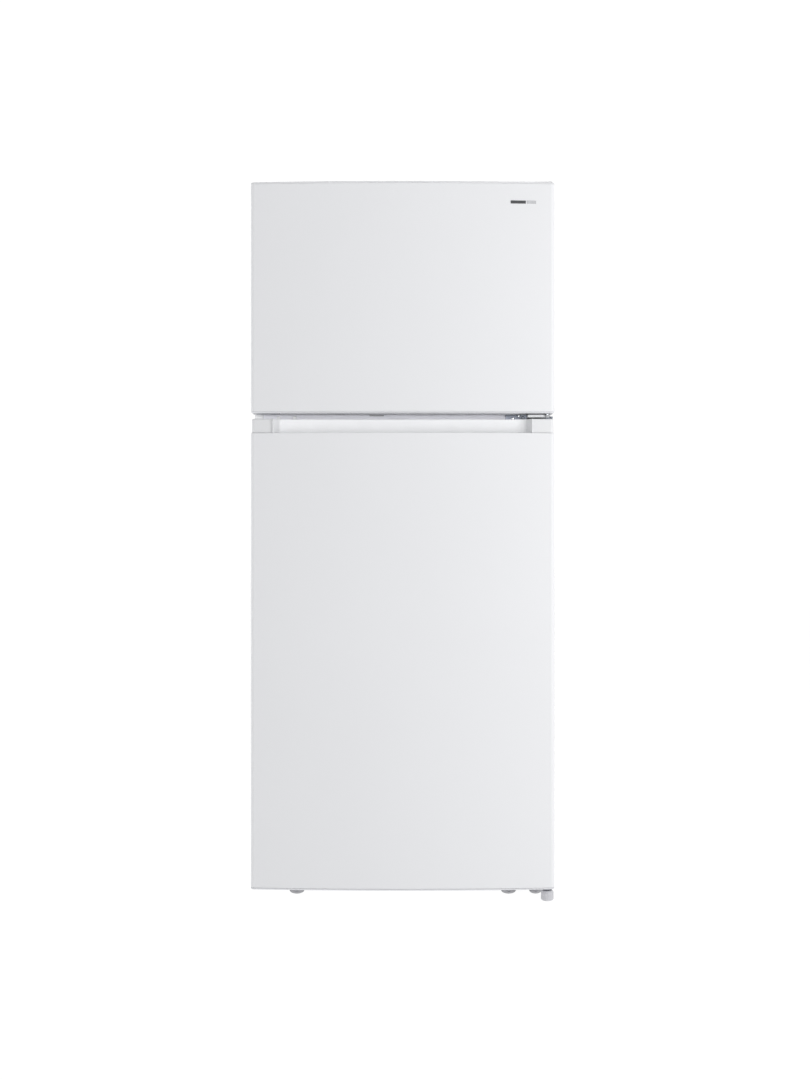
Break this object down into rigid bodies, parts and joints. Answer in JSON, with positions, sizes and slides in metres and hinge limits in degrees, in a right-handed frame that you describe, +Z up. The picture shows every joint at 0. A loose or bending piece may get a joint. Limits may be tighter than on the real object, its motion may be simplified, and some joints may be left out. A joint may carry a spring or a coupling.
{
  "type": "top freezer refrigerator",
  "caption": "Free-standing refrigerator with a freezer door above a taller fresh-food door, both crowned and hinged on the right, with pocket handles between them.",
  "frame": {"origin": "on the floor, under the middle of the object's bounding box", "axes": "+X to the right seen from the front, towards the hinges; +Y from the doors to the back; +Z up"},
  "size_m": [0.7, 0.72, 1.668],
  "materials": {
    "aluminium": "satin",
    "black_paint": "satin",
    "clear_plastic": "gloss",
    "coated_wire": "satin",
    "copper": "satin",
    "dark_plastic": "matte",
    "foam": "matte",
    "galvanised": "satin",
    "gasket_white": "matte",
    "glass": "gloss",
    "grey_plastic": "matte",
    "liner_white": "satin",
    "painted_white": "satin",
    "white_plastic": "satin"
  },
  "bodies": {
    "cabinet": {"air_duct_cover": "white_plastic", "bottom_hinge": "galvanised", "bottom_panel": "galvanised", "cabinet_foam": "foam", "center_hinge": "galvanised", "center_hinge_cover": "white_plastic", "center_rail": "painted_white", "compressor": "black_paint", "compressor_base_plate": "galvanised", "condenser_coil": "black_paint", "control_housing": "white_plastic", "cord_gland": "dark_plastic", "crisper_cover_glass": "glass", "drip_pan": "dark_plastic", "evaporator_coil": "aluminium", "evaporator_cover": "liner_white", "evaporator_fan_motor": "dark_plastic", "filter_drier": "copper", "freezer_liner": "liner_white", "freezer_shelf": "coated_wire", "fridge_liner": "liner_white", "lower_shelf_glass": "glass", "lower_shelf_trim": "white_plastic", "machine_cover": "grey_plastic", "outer_wrapper": "painted_white", "rear_panel": "galvanised", "suction_line": "copper", "top_hinge": "galvanised", "top_hinge_cover": "white_plastic", "upper_shelf_glass": "glass", "upper_shelf_trim": "white_plastic"},
    "freezer_door": {"freezer_door_bin_lower": "clear_plastic", "freezer_door_bin_upper": "clear_plastic", "freezer_door_bottom_cap": "white_plastic", "freezer_door_foam": "foam", "freezer_door_gasket": "gasket_white", "freezer_door_liner": "liner_white", "freezer_door_skin": "painted_white", "freezer_door_top_cap": "white_plastic"},
    "fridge_door": {"fridge_door_bin_bottle": "clear_plastic", "fridge_door_bin_middle": "clear_plastic", "fridge_door_bin_top": "clear_plastic", "fridge_door_bottom_cap": "white_plastic", "fridge_door_foam": "foam", "fridge_door_gasket": "gasket_white", "fridge_door_liner": "liner_white", "fridge_door_skin": "painted_white", "fridge_door_top_cap": "white_plastic"},
    "crisper_drawer_left": {"crisper_drawer_left": "clear_plastic"},
    "crisper_drawer_right": {"crisper_drawer_right": "clear_plastic"},
    "light_switch_plunger": {"light_switch_plunger": "white_plastic"},
    "thermostat_knob": {"thermostat_knob": "white_plastic"},
    "damper_knob": {"damper_knob": "white_plastic"},
    "evaporator_fan": {"evaporator_fan": "grey_plastic"},
    "rear_roller_left": {"rear_roller_left": "dark_plastic"},
    "rear_roller_right": {"rear_roller_right": "dark_plastic"},
    "levelling_foot_left": {"levelling_foot_left": "grey_plastic"},
    "levelling_foot_right": {"levelling_foot_right": "grey_plastic"},
    "hinge_bracket_foot": {"hinge_bracket_foot": "grey_plastic"},
    "hinge_foot": {"hinge_foot": "grey_plastic"}
  },
  "joints": [
    {"name": "freezer_door_swing", "type": "hinge", "parent": "cabinet", "child": "freezer_door", "pos_m": [0.335, -0.314, 1.1265], "axis": [0, 0, 1], "range_deg": [0, 130]},
    {"name": "fridge_door_swing", "type": "hinge", "parent": "cabinet", "child": "fridge_door", "pos_m": [0.335, -0.314, 0.031], "axis": [0, 0, 1], "range_deg": [0, 130]},
    {"name": "crisper_left_slide", "type": "slide", "parent": "cabinet", "child": "crisper_drawer_left", "axis": [0, -1, 0], "range_m": [0, 0.22]},
    {"name": "crisper_right_slide", "type": "slide", "parent": "cabinet", "child": "crisper_drawer_right", "axis": [0, -1, 0], "range_m": [0, 0.22]},
    {"name": "light_switch_travel", "type": "slide", "parent": "cabinet", "child": "light_switch_plunger", "axis": [0, -1, 0], "range_m": [0, 0.01]},
    {"name": "thermostat_turn", "type": "hinge", "parent": "cabinet", "child": "thermostat_knob", "pos_m": [0.05, -0.1603, 1.0705], "axis": [0, -1, 0], "range_deg": [-135, 135]},
    {"name": "damper_turn", "type": "hinge", "parent": "cabinet", "child": "damper_knob", "pos_m": [0.185, 0.2047, 1.44], "axis": [0, -1, 0], "range_deg": [-90, 90]},
    {"name": "evaporator_fan_spin", "type": "hinge", "parent": "cabinet", "child": "evaporator_fan", "pos_m": [0, 0.2188, 1.5], "axis": [0, 1, 0], "continuous": true},
    {"name": "roller_left_spin", "type": "hinge", "parent": "cabinet", "child": "rear_roller_left", "pos_m": [-0.29, 0.305, 0.018], "axis": [1, 0, 0], "continuous": true},
    {"name": "roller_right_spin", "type": "hinge", "parent": "cabinet", "child": "rear_roller_right", "pos_m": [0.29, 0.305, 0.018], "axis": [1, 0, 0], "continuous": true},
    {"name": "foot_left_level", "type": "slide", "parent": "cabinet", "child": "levelling_foot_left", "axis": [0, 0, -1], "range_m": [0, 0.012]},
    {"name": "foot_right_level", "type": "slide", "parent": "cabinet", "child": "levelling_foot_right", "axis": [0, 0, -1], "range_m": [0, 0.012]},
    {"name": "bracket_foot_level", "type": "slide", "parent": "cabinet", "child": "hinge_bracket_foot", "axis": [0, 0, -1], "range_m": [0, 0.012]},
    {"name": "hinge_foot_level", "type": "slide", "parent": "cabinet", "child": "hinge_foot", "axis": [0, 0, -1], "range_m": [0, 0.012]}
  ],
  "couplings": [
    {"joint": "crisper_left_slide", "follows": "fridge_door_swing", "m_per_rad": 0.096962},
    {"joint": "crisper_right_slide", "follows": "fridge_door_swing", "m_per_rad": 0.096962},
    {"joint": "light_switch_travel", "follows": "fridge_door_swing", "m_per_rad": 0.004407}
  ]
}
